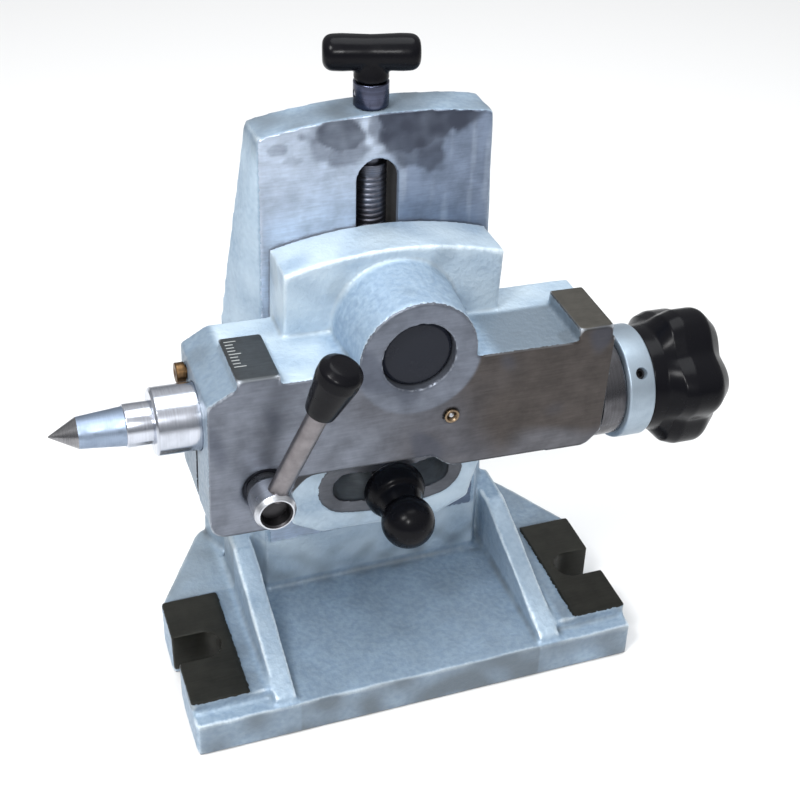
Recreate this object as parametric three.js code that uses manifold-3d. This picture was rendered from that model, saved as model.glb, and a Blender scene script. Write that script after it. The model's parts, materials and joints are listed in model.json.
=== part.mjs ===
// Adjustable tailstock for a rotary table or dividing head.
// Millimetres, +Z up. +X runs along the quill towards the handwheel, +Y runs away from the
// operator. The origin is on the underside of the base, in line with the two bolt slots.
import * as THREE from 'three';
import { ConvexGeometry } from 'three/addons/geometries/ConvexGeometry.js';
import { mergeVertices } from 'three/addons/utils/BufferGeometryUtils.js';
import Module from 'manifold-3d';

const wasm = await Module();
wasm.setup();

// ---- Driving dimensions ------------------------------------------------------------------
const GAP = 0.3;              // clearance between two pieces that touch
const ROUND = 36;             // sides on a large round piece
const SMALL_ROUND = 20;       // sides on a piece under SMALL_R in radius
const SMALL_R = 6.5;

const BASE_HALF = 110;        // half the length of the base
const BASE_FRONT = -45;
const BASE_SIDE_END = 34.5;   // where the plan starts to taper to the back
const BASE_BACK = 87;
const BASE_BACK_HALF = 80;
const SHELF_TOP = 19;
const END_INNER = 72;         // inner edge of the raised ends of the base
const END_TOP = 24;
const PAD_INNER = 82.5;
const PAD_FRONT = -36;
const PAD_TOP = 25.5;
const BOLT_SLOT_HALF = 8.7;   // 17.4 mm slots for the table's T-bolts
const BOLT_SLOT_INNER = 88;
const RIB_INNER = 61.5;

const FACE_Y = 35;            // machined front face of the column
const WALL_Y = 56;            // back of the column's front wall
const COLUMN_HALF = 51.4;
const COLUMN_SIDE_TOP = 266.7;
const COLUMN_TOP = 271.7;
const COLUMN_BACK_FOOT = 85;
const GUIDE_HALF = 9.2;       // vertical guide slot
const GUIDE_LOW = 56;
const GUIDE_HIGH = 251;
const SCREW_Y = 45.5;         // axis of the elevating screw
const SCREW_R = 7.2;
const SCREW_NECK_R = 5;        // where it passes through the top of the column

const PIVOT_Z = 187.3;        // height of the tilt axis
const TILT = THREE.MathUtils.degToRad(2);   // the head leans down 2 degrees at the handwheel
const JOURNAL_R = 11;
const CLAMP_Z = 95;           // height of the tilt clamp's stud

// The head's heights are measured from the tilt axis.
const HEAD_FRONT = -24.3;
const HEAD_BACK = 28.4;
const HEAD_LEFT = -91;
const HEAD_RIGHT = 92;
const HEAD_TOP = -3.5;
const PLATE_FRONT = 10;
const PLATE_BACK = 34.7;
const PLATE_HALF = 49.8;
const ARC_RADIUS = 92.4;      // radius of the curved clamping slot
const ARC_HALF_ANGLE = THREE.MathUtils.degToRad(12.9);
const ARC_OFFSET = THREE.MathUtils.degToRad(2.2);    // towards the handwheel
const ARC_SLOT_HALF = 8;
const ARC_PAD_HALF = 15;
const CAP_BORE_R = 16.3;
const CAP_FLOOR = -8;         // floor of the counterbore that holds the lock nut

const QUILL_Z = -30;
const QUILL_R = 14.8;
const QUILL_LEFT = -110;
const QUILL_RIGHT = 30;
const FEED_Z = QUILL_Z - 15.4;   // the feed screw lies under the quill, in its half thread
const FEED_R = 7;
const BORE_END = 60;
const RING_LEFT = 104.3;
const RING_RIGHT = 117.5;
const SET_SCREW_RISE = THREE.MathUtils.degToRad(40);   // above the horizontal, at the front
const KNOB_LEFT = 117.8;
const KNOB_RIGHT = 157;
const LOBE_TURN = THREE.MathUtils.degToRad(94);

const LEVER_X = -66.4;
const LEVER_Z = -56.3;
const NUT_FLOOR = 20;         // the quill clamp's nut is sunk in the back of the head
const OILER_X = 16.7;
const OILER_Z = -32.3;

const onQuill = [0, QUILL_Z];
const onFeed = [0, FEED_Z];
const onLever = [LEVER_X, LEVER_Z];
const onOiler = [OILER_X, OILER_Z];
const onEndOiler = [20, -20.5];

// ---- Materials ---------------------------------------------------------------------------
const finish = (color, roughness, metalness) =>
  new THREE.MeshStandardMaterial({ color, roughness, metalness });
const CASTING = finish(0x8fa3ad, 0.5, 0.35);
const STEEL = finish(0xb9bcc0, 0.3, 0.9);
const BRIGHT = finish(0xdfe2e6, 0.12, 1.0);
const SATIN = finish(0xc4cdd2, 0.45, 0.8);
const DARK_STEEL = finish(0x3a3c40, 0.5, 0.7);
const BLACK = finish(0x0b0b0d, 0.25, 0.0);
const BRASS = finish(0xa88746, 0.35, 0.9);

// ---- Geometry helpers --------------------------------------------------------------------
const AXIS_FRAMES = {
  x: [new THREE.Vector3(0, 1, 0), new THREE.Vector3(0, 0, 1), new THREE.Vector3(1, 0, 0)],
  z: [new THREE.Vector3(1, 0, 0), new THREE.Vector3(0, 1, 0), new THREE.Vector3(0, 0, 1)],
};

function solid(geometry) {
  const bare = geometry.clone();
  bare.deleteAttribute('normal');
  bare.deleteAttribute('uv');
  const merged = mergeVertices(bare, 1e-4);
  const vertProperties = new Float32Array(merged.attributes.position.array);
  const triVerts = new Uint32Array(merged.index.array);
  return new wasm.Manifold(new wasm.Mesh({ numProp: 3, vertProperties, triVerts }));
}

function toGeometry(manifold) {
  const mesh = manifold.getMesh();
  const geometry = new THREE.BufferGeometry();
  geometry.setAttribute('position', new THREE.BufferAttribute(mesh.vertProperties, 3));
  geometry.setIndex(new THREE.BufferAttribute(mesh.triVerts, 1));
  geometry.computeVertexNormals();
  return geometry;
}

const union = (first, ...rest) => rest.reduce((sum, piece) => sum.add(piece), first);
const cut = (first, ...rest) => rest.reduce((left, piece) => left.subtract(piece), first);

function box(x0, x1, y0, y1, z0, z1) {
  const geometry = new THREE.BoxGeometry(x1 - x0, y1 - y0, z1 - z0);
  return solid(geometry.translate((x0 + x1) / 2, (y0 + y1) / 2, (z0 + z1) / 2));
}

// A round bar or cone from one place to another along an axis. The centre gives its other two
// coordinates, in X, Y, Z order.
function bar(axis, radius, from, to, [a, b] = [0, 0], radiusEnd = radius) {
  const sides = radius < SMALL_R ? SMALL_ROUND : ROUND;
  const geometry = new THREE.CylinderGeometry(radiusEnd, radius, to - from, sides);
  const middle = (from + to) / 2;
  if (axis === 'x') geometry.rotateZ(-Math.PI / 2).translate(middle, a, b);
  if (axis === 'y') geometry.translate(a, middle, b);
  if (axis === 'z') geometry.rotateX(Math.PI / 2).translate(a, b, middle);
  return solid(geometry);
}

// A ring: a bar with a hole along it.
const ring = (axis, radius, hole, from, to, centre) =>
  cut(bar(axis, radius, from, to, centre), bar(axis, hole, from - 1, to + 1, centre));

// Extrudes a shape along an axis. On the y axis the shape is drawn as seen from the front,
// with its own x to the right and its own y up.
function prism(shape, axis, from, to, curveSegments = 10) {
  const options = { depth: to - from, bevelEnabled: false, curveSegments };
  const geometry = new THREE.ExtrudeGeometry(shape, options);
  if (axis === 'y') {
    geometry.rotateX(Math.PI / 2).translate(0, to, 0);
    return solid(geometry);
  }
  geometry.translate(0, 0, from);
  geometry.applyMatrix4(new THREE.Matrix4().makeBasis(...AXIS_FRAMES[axis]));
  return solid(geometry);
}

// A closed outline through [x, y, corner radius] points, with rounded corners.
function outline(points) {
  const shape = new THREE.Shape();
  points.forEach(([x, y, radius = 0], i) => {
    const here = new THREE.Vector2(x, y);
    const before = new THREE.Vector2(...points.at(i - 1).slice(0, 2));
    const after = new THREE.Vector2(...points[(i + 1) % points.length].slice(0, 2));
    const enter = here.clone().add(before.sub(here).setLength(radius));
    const leave = here.clone().add(after.sub(here).setLength(radius));
    if (i === 0) shape.moveTo(enter.x, enter.y);
    else shape.lineTo(enter.x, enter.y);
    if (radius > 0) shape.quadraticCurveTo(x, y, leave.x, leave.y);
  });
  shape.closePath();
  return shape;
}

const mirrored = (points) => [
  ...points,
  ...points.toReversed().map(([x, y, radius]) => [-x, y, radius]),
];

// A slot with round ends, standing upright between two end heights.
function uprightSlot(halfWidth, low, high) {
  const shape = new THREE.Shape();
  shape.absarc(0, high - halfWidth, halfWidth, 0, Math.PI);
  shape.absarc(0, low + halfWidth, halfWidth, Math.PI, 2 * Math.PI);
  shape.closePath();
  return shape;
}

// The curved clamping slot: round ended, and bent round the tilt axis above it.
function curvedSlot(halfWidth) {
  const middle = ARC_OFFSET - Math.PI / 2;
  const end = (angle) => [ARC_RADIUS * Math.cos(angle), ARC_RADIUS * Math.sin(angle)];
  const [left, right] = [middle - ARC_HALF_ANGLE, middle + ARC_HALF_ANGLE];
  const shape = new THREE.Shape();
  shape.absarc(0, 0, ARC_RADIUS + halfWidth, left, right);
  shape.absarc(...end(right), halfWidth, right, right + Math.PI);
  shape.absarc(0, 0, ARC_RADIUS - halfWidth, right, left, true);
  shape.absarc(...end(left), halfWidth, left + Math.PI, left + 2 * Math.PI);
  shape.closePath();
  return shape;
}

// A plate whose top edge is a shallow arc between its two top corners.
function archedPlate(halfWidth, foot, cornerZ, crownZ) {
  const rise = crownZ - cornerZ;
  const radius = (halfWidth * halfWidth + rise * rise) / (2 * rise);
  const start = Math.asin(halfWidth / radius);
  const shape = new THREE.Shape();
  foot.forEach(([x, z], i) => (i === 0 ? shape.moveTo(x, z) : shape.lineTo(x, z)));
  shape.absarc(0, crownZ - radius, radius, Math.PI / 2 - start, Math.PI / 2 + start);
  shape.closePath();
  return shape;
}

function hexagon(acrossFlats, [a, b]) {
  const radius = acrossFlats / Math.sqrt(3);
  return [0, 1, 2, 3, 4, 5].map((i) => {
    const angle = (i * Math.PI) / 3;
    return [a + radius * Math.cos(angle), b + radius * Math.sin(angle)];
  });
}

const nut = (acrossFlats, hole, from, to, centre) => cut(
  prism(outline(hexagon(acrossFlats, centre)), 'y', from, to),
  bar('y', hole, from - 1, to + 1, centre),
);

// ---- Assembly ----------------------------------------------------------------------------
const group = new THREE.Group();
const head = new THREE.Group();
head.position.z = PIVOT_Z;
head.rotation.y = TILT;
group.add(head);

function place(parent, name, manifold, material) {
  const mesh = new THREE.Mesh(toGeometry(manifold), material);
  mesh.name = name;
  parent.add(mesh);
}

// ---- Base and column: one iron casting -----------------------------------------------------
function flange() {
  const outer = mirrored([
    [BASE_HALF, BASE_FRONT, 4],
    [BASE_HALF, BASE_SIDE_END, 6],
    [BASE_BACK_HALF, BASE_BACK, 8],
  ]);
  return prism(outline(outer), 'z', 0, SHELF_TOP);
}

function raisedEnd(side) {
  const end = outline([
    [side * END_INNER, PAD_FRONT],
    [side * BASE_HALF, PAD_FRONT],
    [side * BASE_HALF, BASE_SIDE_END, 6],
    [side * BASE_BACK_HALF, BASE_BACK, 8],
    [side * END_INNER, BASE_BACK],
  ]);
  const [x0, x1] = side > 0 ? [PAD_INNER, BASE_HALF] : [-BASE_HALF, -PAD_INNER];
  const pad = box(x0, x1, PAD_FRONT, BASE_SIDE_END, 1, PAD_TOP);
  return union(prism(end, 'z', 1, END_TOP), pad);
}

function rib(side) {
  const profile = outline([[-42, 5], [-42, 22, 2], [FACE_Y, 49.5], [60, 49.5], [60, 5]]);
  const [x0, x1] = side > 0 ? [RIB_INNER, END_INNER] : [-END_INNER, -RIB_INNER];
  return prism(profile, 'x', x0, x1);
}

const corners = (rows) => rows.flatMap(([half, y, z]) => [
  new THREE.Vector3(-half, y, z),
  new THREE.Vector3(half, y, z),
]);

function column() {
  const tapered = solid(new ConvexGeometry(corners([
    [56, FACE_Y, 5], [COLUMN_HALF, FACE_Y, 60], [COLUMN_HALF, FACE_Y, 275],
    [BASE_BACK_HALF, COLUMN_BACK_FOOT, 5], [64, 66, 176], [52, WALL_Y, COLUMN_SIDE_TOP],
    [51.5, WALL_Y, 275],
  ])));
  const crown = archedPlate(90, [[-90, 0], [90, 0]], COLUMN_TOP - 15.2, COLUMN_TOP);
  const pocket = solid(new ConvexGeometry(corners([
    [56, WALL_Y, 30], [40, WALL_Y, 256], [70, 130, 30], [40, 130, 256],
  ])));
  return tapered.intersect(prism(crown, 'y', 0, 120, 24)).subtract(pocket);
}

function boltSlot(side) {
  const shape = new THREE.Shape();
  const centre = side * (BOLT_SLOT_INNER + BOLT_SLOT_HALF);
  const start = side * Math.PI / 2;
  shape.absarc(centre, 0, BOLT_SLOT_HALF, start, start + Math.PI);
  shape.lineTo(side * (BASE_HALF + 5), -side * BOLT_SLOT_HALF);
  shape.lineTo(side * (BASE_HALF + 5), side * BOLT_SLOT_HALF);
  shape.closePath();
  return prism(shape, 'z', -1, 40);
}

function tenonGroove(side) {
  const [x0, x1] = side > 0 ? [60, 120] : [-120, -60];
  return box(x0, x1, -BOLT_SLOT_HALF - 1.3, BOLT_SLOT_HALF + 1.3, -1, 4);
}

function baseCasting() {
  const casting = union(flange(), raisedEnd(-1), raisedEnd(1), rib(-1), rib(1), column());
  return cut(
    casting,
    boltSlot(-1), boltSlot(1), tenonGroove(-1), tenonGroove(1),
    prism(uprightSlot(GUIDE_HALF, GUIDE_LOW, GUIDE_HIGH), 'y', 20, 100),
    bar('z', SCREW_NECK_R + 0.5, 230, 280, [0, SCREW_Y]),
  );
}
place(group, 'base_casting', baseCasting(), CASTING);

// ---- Elevating screw and its T-handle ------------------------------------------------------
const onScrew = [0, SCREW_Y];
const SLEEVE_LOW = COLUMN_TOP + GAP;
const SLEEVE_TOP = 283;
const BAR_Z = 295;
const HANDLE_TURN = THREE.MathUtils.degToRad(15);   // clockwise from above

const SCREW_SHOULDER = 246.5;   // it stops under the arch of the guide slot
const PIN_Z = 277.6;

function elevatingScrew() {
  return cut(
    union(
      bar('z', SCREW_R - 1, 136, 137, onScrew, SCREW_R),
      bar('z', SCREW_R, 137, SCREW_SHOULDER, onScrew),
      bar('z', SCREW_NECK_R, SCREW_SHOULDER - 1, 291, onScrew),
    ),
    bar('x', 1.8, -9, 9, [SCREW_Y, PIN_Z]),
  );
}

function tHandle() {
  const shape = new THREE.Shape();
  shape.moveTo(0, -20.5);
  shape.lineTo(3, -20.5);
  shape.quadraticCurveTo(7.6, -20.2, 7.6, -14);
  shape.quadraticCurveTo(4.8, 0, 7.6, 14);
  shape.quadraticCurveTo(7.6, 20.2, 3, 20.5);
  shape.lineTo(0, 20.5);
  const grip = new THREE.LatheGeometry(shape.getPoints(4), 18);
  grip.rotateZ(-Math.PI / 2).rotateZ(-HANDLE_TURN).translate(0, SCREW_Y, BAR_Z);
  const neck = bar('z', 7.8, SLEEVE_TOP + GAP, 291, onScrew, 6.4);
  const socket = bar('z', SCREW_NECK_R + GAP, 270, 291 + GAP, onScrew);
  return cut(union(solid(grip), neck), socket);
}

function screwSleeve() {
  return cut(
    ring('z', 7.7, SCREW_NECK_R + GAP, SLEEVE_LOW, SLEEVE_TOP, onScrew),
    bar('x', 1.8, -9, 9, [SCREW_Y, PIN_Z]),
  );
}

place(group, 'elevating_screw', elevatingScrew(), STEEL);
place(group, 'screw_sleeve', screwSleeve(), DARK_STEEL);
place(group, 'sleeve_pin', bar('x', 1.5, -7.2, 7.2, [SCREW_Y, PIN_Z]), STEEL);
place(group, 'elevating_t_handle', tHandle(), BLACK);

// ---- Carriage: the stud that the screw raises, and the tilt clamp's bolt --------------------
const onPivot = [0, PIVOT_Z];
const onClamp = [0, CLAMP_Z];

function pivotStud() {
  const half = GUIDE_HALF - GAP;
  const block = box(-half, half, FACE_Y, WALL_Y, PIVOT_Z - 15, PIVOT_Z + 15);
  const journal = bar('y', JOURNAL_R, -6, FACE_Y - GAP, onPivot);
  const neck = bar('y', half - 0.1, 30, 40, onPivot);
  const front = bar('y', 8, -16.5, -5, onPivot);
  const rear = bar('y', 8, WALL_Y - 1, 72, onPivot);
  return cut(
    union(block, journal, neck, front, rear),
    bar('z', SCREW_R + GAP, 150, 230, onScrew),
  );
}

function tiltClampBolt() {
  const block = box(-13, 13, WALL_Y + GAP, 65, CLAMP_Z - 15, CLAMP_Z + 15);
  return union(block, bar('y', 6, -2, 60, onClamp));
}

place(group, 'pivot_stud', pivotStud(), STEEL);
place(group, 'pivot_front_washer', ring('y', 15.5, 8.4, -10.7, CAP_FLOOR - GAP, onPivot), STEEL);
place(group, 'pivot_lock_nut', nut(24, 8.4, -17.6, -11, onPivot), DARK_STEEL);
place(group, 'pivot_rear_washer', cut(
  box(-17, 17, WALL_Y + GAP, 61, PIVOT_Z - 20, PIVOT_Z + 20), bar('y', 8.4, 50, 70, onPivot),
), DARK_STEEL);
place(group, 'pivot_rear_nut', nut(27, 8.4, 61 + GAP, 71.5, onPivot), DARK_STEEL);
place(group, 'tilt_clamp_bolt', tiltClampBolt(), DARK_STEEL);

// ---- Tilt clamp: hub and ball on the bolt's front end ---------------------------------------
const HUB_BACK = 6;
const BALL_R = 12.5;
const BALL_Y = -16.5;
const BALL_Z = 91.5;

function tiltClampHub() {
  const neck = new THREE.CylinderGeometry(8, 11, 10, 24);
  neck.rotateX(Math.PI).rotateX(-0.25).translate(0, -7, CLAMP_Z - 1.4);
  const body = bar('y', 14.6, -2.5, HUB_BACK, onClamp);
  const nose = bar('y', 12.6, -4.5, -2.5, onClamp, 14.6);
  return cut(union(body, nose, solid(neck)), bar('y', 6.3, -2.5, 10, onClamp));
}

function tiltClampBall() {
  const ball = solid(new THREE.SphereGeometry(BALL_R, 24, 14).translate(0, BALL_Y, BALL_Z));
  const socket = new THREE.CylinderGeometry(10.2, 11.6, 14, 24);
  socket.rotateX(Math.PI).rotateX(-0.25).translate(0, -6.4, CLAMP_Z - 1.3);
  return cut(ball, solid(socket), bar('y', 15, -4.8, 10, onClamp));
}

place(group, 'tilt_clamp_washer', ring('y', 12, 6.3, HUB_BACK + GAP, 8.6, onClamp), STEEL);
place(group, 'tilt_clamp_hub', tiltClampHub(), BLACK);
place(group, 'tilt_clamp_ball', tiltClampBall(), BLACK);

// ---- Head casting ---------------------------------------------------------------------------
function headBeam() {
  const face = outline([
    [HEAD_LEFT, -10.3], [-79.5, HEAD_TOP], [HEAD_RIGHT, HEAD_TOP], [HEAD_RIGHT, -54.5],
    [85, -61.5, 3], [18, -60.5, 3], [9, -53.3, 3], [-48, -53.3, 6],
    [-54.5, -62], [-54.5, -80, 9], [HEAD_LEFT, -80, 9],
  ]);
  return prism(face, 'y', HEAD_FRONT, HEAD_BACK, 5);
}

function guidePlate() {
  const foot = [[-PLATE_HALF, -85], [-44, -109.3], [-29.5, -116.9], [29.5, -116.9],
    [44, -109.3], [PLATE_HALF, -85]];
  return prism(archedPlate(PLATE_HALF, foot, 26.3, 33.6), 'y', PLATE_FRONT, PLATE_BACK, 16);
}

function headPads() {
  return [[-78.5, -60, 0.8], [74, 90.7, 3]].map(([x0, x1, top]) =>
    box(x0, x1, HEAD_FRONT, PLATE_FRONT, HEAD_TOP - 2, top));
}

function headCasting() {
  const pivotBoss = bar('y', 26.5, HEAD_FRONT, PLATE_FRONT + 1, [0, 0], 28.7);
  const slotPad = prism(curvedSlot(ARC_PAD_HALF), 'y', 9, PLATE_FRONT + 1);
  const clampSlit = box(-100, -54, -1, 1, -90, QUILL_Z);
  return cut(
    union(headBeam(), guidePlate(), pivotBoss, slotPad, ...headPads()),
    bar('y', CAP_BORE_R, -30, CAP_FLOOR),
    bar('y', JOURNAL_R + GAP, -10, 40),
    prism(curvedSlot(ARC_SLOT_HALF), 'y', 0, 40),
    bar('x', QUILL_R + GAP, -100, BORE_END, onQuill),
    bar('x', FEED_R + GAP, -30, 100, onFeed),
    bar('x', 12, 74, 100, onFeed),
    clampSlit,
    bar('y', 5.3, -30, 40, onLever),
    bar('y', 10.4, -30, HEAD_FRONT + 2, onLever),
    bar('y', 10.5, NUT_FLOOR, 30, onLever),
    bar('y', 3.3, -30, HEAD_FRONT + 6.3, onOiler),
    bar('x', 3.3, -100, -84, onEndOiler),
  );
}

place(head, 'head_casting', headCasting(), CASTING);
place(head, 'pivot_cap', union(
  bar('y', 15.9, -20.8, -18.1), bar('y', 14.8, -21.9, -20.8, [0, 0], 15.9),
), BLACK);
place(head, 'ball_oiler', cut(
  union(
    bar('y', 3, HEAD_FRONT - 0.5, HEAD_FRONT + 5.8, onOiler),
    bar('y', 4.2, HEAD_FRONT - 1.1, HEAD_FRONT - GAP, onOiler),
  ),
  bar('y', 1.8, HEAD_FRONT - 2, HEAD_FRONT + 2.8, onOiler),
), BRASS);
place(head, 'oiler_ball', solid(
  new THREE.SphereGeometry(1.5, 12, 8).translate(OILER_X, HEAD_FRONT + 0.8, OILER_Z),
), BRIGHT);
place(head, 'end_oiler', union(
  bar('x', 3, -95, -85, onEndOiler), bar('x', 4.5, -95.4, HEAD_LEFT - GAP, onEndOiler),
), BRASS);

// ---- Quill, dead centre and feed ------------------------------------------------------------
const SHANK_END = -50;

function quill() {
  return cut(
    union(
      bar('x', QUILL_R - 1, QUILL_LEFT, QUILL_LEFT + 1, onQuill, QUILL_R),
      bar('x', QUILL_R, QUILL_LEFT + 1, QUILL_RIGHT, onQuill),
    ),
    bar('x', 9.3, QUILL_LEFT - 1, SHANK_END + 2, onQuill, 7.6),
    bar('x', 5, SHANK_END - 2, QUILL_RIGHT + 1, onQuill),
    bar('x', FEED_R + GAP, -45, QUILL_RIGHT + 1, onFeed),
  );
}

function deadCentre() {
  return union(
    bar('x', 0.4, -152.7, -141, onQuill, 6.8),
    bar('x', 6.9, -141, -121.5, onQuill, 8.6),
    bar('x', 9.4, -121.5, QUILL_LEFT, onQuill),
    bar('x', 9, QUILL_LEFT - 0.05, SHANK_END, onQuill, 7.3),
  );
}

const feedScrew = union(
  bar('x', FEED_R, -20, 74, onFeed),
  bar('x', 6, 73, 140, onFeed),
);

// A round bar that points out from the feed axis, halfway along the ring.
function ringSpoke(radius, from, to) {
  const geometry = new THREE.CylinderGeometry(radius, radius, to - from, SMALL_ROUND);
  geometry.translate(0, -(from + to) / 2, 0).rotateX(-SET_SCREW_RISE);
  return solid(geometry.translate((RING_LEFT + RING_RIGHT) / 2, 0, FEED_Z));
}

function endRing() {
  const body = union(
    bar('x', 25.4, RING_LEFT, RING_LEFT + 1, onFeed, 26.4),
    bar('x', 26.4, RING_LEFT + 1, RING_RIGHT - 1, onFeed),
    bar('x', 26.4, RING_RIGHT - 1, RING_RIGHT, onFeed, 25.4),
  );
  return cut(body, bar('x', 6.3, 100, 120, onFeed), ringSpoke(2.8, 5, 30));
}

// Five lobes round a hub: the radius swings with the angle.
function lobedShape(hubRadius, swing) {
  const count = 60;
  const points = Array.from({ length: count }, (_, i) => {
    const angle = (2 * Math.PI * i) / count;
    const radius = hubRadius + swing * Math.cos(5 * angle);
    return new THREE.Vector2(radius * Math.cos(angle), radius * Math.sin(angle));
  });
  return new THREE.Shape(points);
}

function starKnob() {
  const options = {
    depth: 23, bevelEnabled: true, bevelThickness: 5, bevelSize: 5, bevelSegments: 3,
  };
  const lobes = new THREE.ExtrudeGeometry(lobedShape(25, 4), options);
  lobes.rotateZ(LOBE_TURN).translate(0, 0, KNOB_RIGHT - 28);
  lobes.applyMatrix4(new THREE.Matrix4().makeBasis(...AXIS_FRAMES.x)).translate(0, 0, FEED_Z);
  const hub = bar('x', 24.5, KNOB_LEFT, KNOB_LEFT + 12, onFeed, 26);
  return cut(union(solid(lobes), hub), bar('x', 10.3, KNOB_LEFT - 1, 142, onFeed));
}

place(head, 'quill', quill(), BRIGHT);
place(head, 'dead_centre', deadCentre(), BRIGHT);
place(head, 'feed_screw', feedScrew, STEEL);
place(head, 'feed_bush', cut(
  union(bar('x', 11.7, 75, 94, onFeed), bar('x', 24, HEAD_RIGHT + GAP, 104, onFeed)),
  bar('x', 6.3, 70, 110, onFeed),
), STEEL);
place(head, 'end_ring', endRing(), SATIN);
place(head, 'ring_set_screw', ringSpoke(2.5, 6.5, 23), DARK_STEEL);
place(head, 'knob_insert', ring('x', 10, 6.3, KNOB_LEFT + GAP, 141.5, onFeed), STEEL);
place(head, 'star_knob', starKnob(), BLACK);

// ---- Quill clamp ----------------------------------------------------------------------------
const LEVER_HUB_FRONT = -42.5;
const LEVER_ROOT_Y = -34;
const LEVER_SWEEP = THREE.MathUtils.degToRad(16);   // from upright, towards the handwheel
const LEVER_LEAN = THREE.MathUtils.degToRad(14.5);  // away from the face

// Stands a piece drawn along +Y, from the lever's root, in the lever's direction.
function alongLever(geometry) {
  geometry.rotateX(Math.PI / 2 + LEVER_LEAN).rotateY(LEVER_SWEEP);
  return solid(geometry.translate(LEVER_X, LEVER_ROOT_Y, LEVER_Z));
}
const leverBar = (low, high, radius, radiusEnd = radius) => alongLever(
  new THREE.CylinderGeometry(radiusEnd, radius, high - low, 28).translate(0, (low + high) / 2, 0));

function leverHub() {
  const front = bar('y', 8.2, LEVER_HUB_FRONT, LEVER_HUB_FRONT + 1, onLever, 9.2);
  const body = bar('y', 9.2, LEVER_HUB_FRONT + 1, HEAD_FRONT + 1.7, onLever);
  const socket = bar('y', 5.6, LEVER_HUB_FRONT - 1, LEVER_HUB_FRONT + 5, onLever);
  const studHole = bar('y', 5.3, -33, -20, onLever);
  return cut(union(front, body), socket, studHole, leverBar(5.5, 12, 4.8));
}

function leverGrip() {
  return cut(
    union(leverBar(59, 61, 6.6, 7.2), leverBar(61, 81, 7.2, 9.5), leverBar(81, 85, 9.5, 7)),
    leverBar(58, 75, 4.8),
  );
}

place(head, 'quill_clamp_stud', bar('y', 5, -32.5, HEAD_BACK - 0.4, onLever), STEEL);
place(head, 'quill_clamp_hub', leverHub(), BRIGHT);
place(head, 'quill_clamp_rod', leverBar(5.9, 74.5, 4.5), STEEL);
place(head, 'quill_clamp_grip', leverGrip(), BLACK);
place(head, 'quill_clamp_washer', ring('y', 9, 5.3, NUT_FLOOR + GAP, 22, onLever), STEEL);
place(head, 'quill_clamp_nut', nut(16, 5.3, 22 + GAP, HEAD_BACK, onLever), DARK_STEEL);

export default group;
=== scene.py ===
"""Adjustable tailstock: fine meshes, materials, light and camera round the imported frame.

Pieces are drawn in millimetres. Those on the head use the head's own frame (HEAD): its origin is
on the tilt axis and its X runs along the quill. The others use the shared frame (ROW).
"""
import json
import math

import bmesh
import bpy
import numpy as np
from mathutils import Matrix, Vector

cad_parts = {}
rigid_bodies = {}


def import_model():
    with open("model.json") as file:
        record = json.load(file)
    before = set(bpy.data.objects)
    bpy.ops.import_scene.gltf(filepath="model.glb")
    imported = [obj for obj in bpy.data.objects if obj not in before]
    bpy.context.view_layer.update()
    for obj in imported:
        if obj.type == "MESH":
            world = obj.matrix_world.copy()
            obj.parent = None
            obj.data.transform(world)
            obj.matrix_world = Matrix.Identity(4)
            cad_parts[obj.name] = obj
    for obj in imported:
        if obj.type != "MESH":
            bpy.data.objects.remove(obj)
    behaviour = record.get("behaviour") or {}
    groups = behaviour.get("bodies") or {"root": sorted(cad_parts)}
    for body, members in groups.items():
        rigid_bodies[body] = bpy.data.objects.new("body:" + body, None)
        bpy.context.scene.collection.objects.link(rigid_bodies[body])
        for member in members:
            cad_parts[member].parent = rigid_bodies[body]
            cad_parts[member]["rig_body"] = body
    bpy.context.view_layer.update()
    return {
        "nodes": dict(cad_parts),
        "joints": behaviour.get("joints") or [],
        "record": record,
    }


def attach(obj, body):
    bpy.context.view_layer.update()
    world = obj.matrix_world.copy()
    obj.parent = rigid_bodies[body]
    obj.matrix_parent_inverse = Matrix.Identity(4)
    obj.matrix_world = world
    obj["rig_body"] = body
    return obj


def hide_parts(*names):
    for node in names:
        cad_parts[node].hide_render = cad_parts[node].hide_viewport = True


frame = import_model()
nodes = frame["nodes"]
joints = {joint["name"]: joint for joint in frame["joints"]}
couplings = {pair["joint"]: pair for pair in frame["record"]["behaviour"]["couplings"]}

# ---- Frames ----
quill_axis = Vector(joints["quill_slide"]["axis"])
tilt_origin = Vector(joints["head_tilt"]["pos_m"])
TILT = math.atan2(quill_axis.z, -quill_axis.x)
ROW = Matrix.Scale(0.001, 4)
HEAD = Matrix.Translation(tilt_origin) @ Matrix.Rotation(TILT, 4, "Y") @ ROW


def cad_points(node, place):
    """A CAD node's points, in millimetres, in the frame that its pieces are drawn in."""
    back = place.inverted()
    return [back @ vertex.co for vertex in nodes[node].data.vertices]


def corners(node, place):
    """The lowest and highest corner of a CAD node's points."""
    return [Vector(map(pick, zip(*cad_points(node, place)))) for pick in (min, max)]


def middle(node, place):
    """The middle of a CAD node's box."""
    low, high = corners(node, place)
    return (low + high) / 2


def aim(origin, direction):
    """Stands a piece drawn along X at a point, in a direction."""
    turn_to = Vector((1, 0, 0)).rotation_difference(Vector(direction))
    return Matrix.Translation(origin) @ turn_to.to_matrix().to_4x4()


def along(axis, centre):
    """Stands a piece drawn along X on a line through a point, keeping its places on the axis."""
    origin = Vector(centre)
    origin["xyz".index(axis)] = 0
    return aim(origin, [float(axis == name) for name in "xyz"])


# ---- Materials ----
SOCKET_NAMES = {"specular_ior_level": "Specular IOR Level"}     # not in title case


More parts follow.
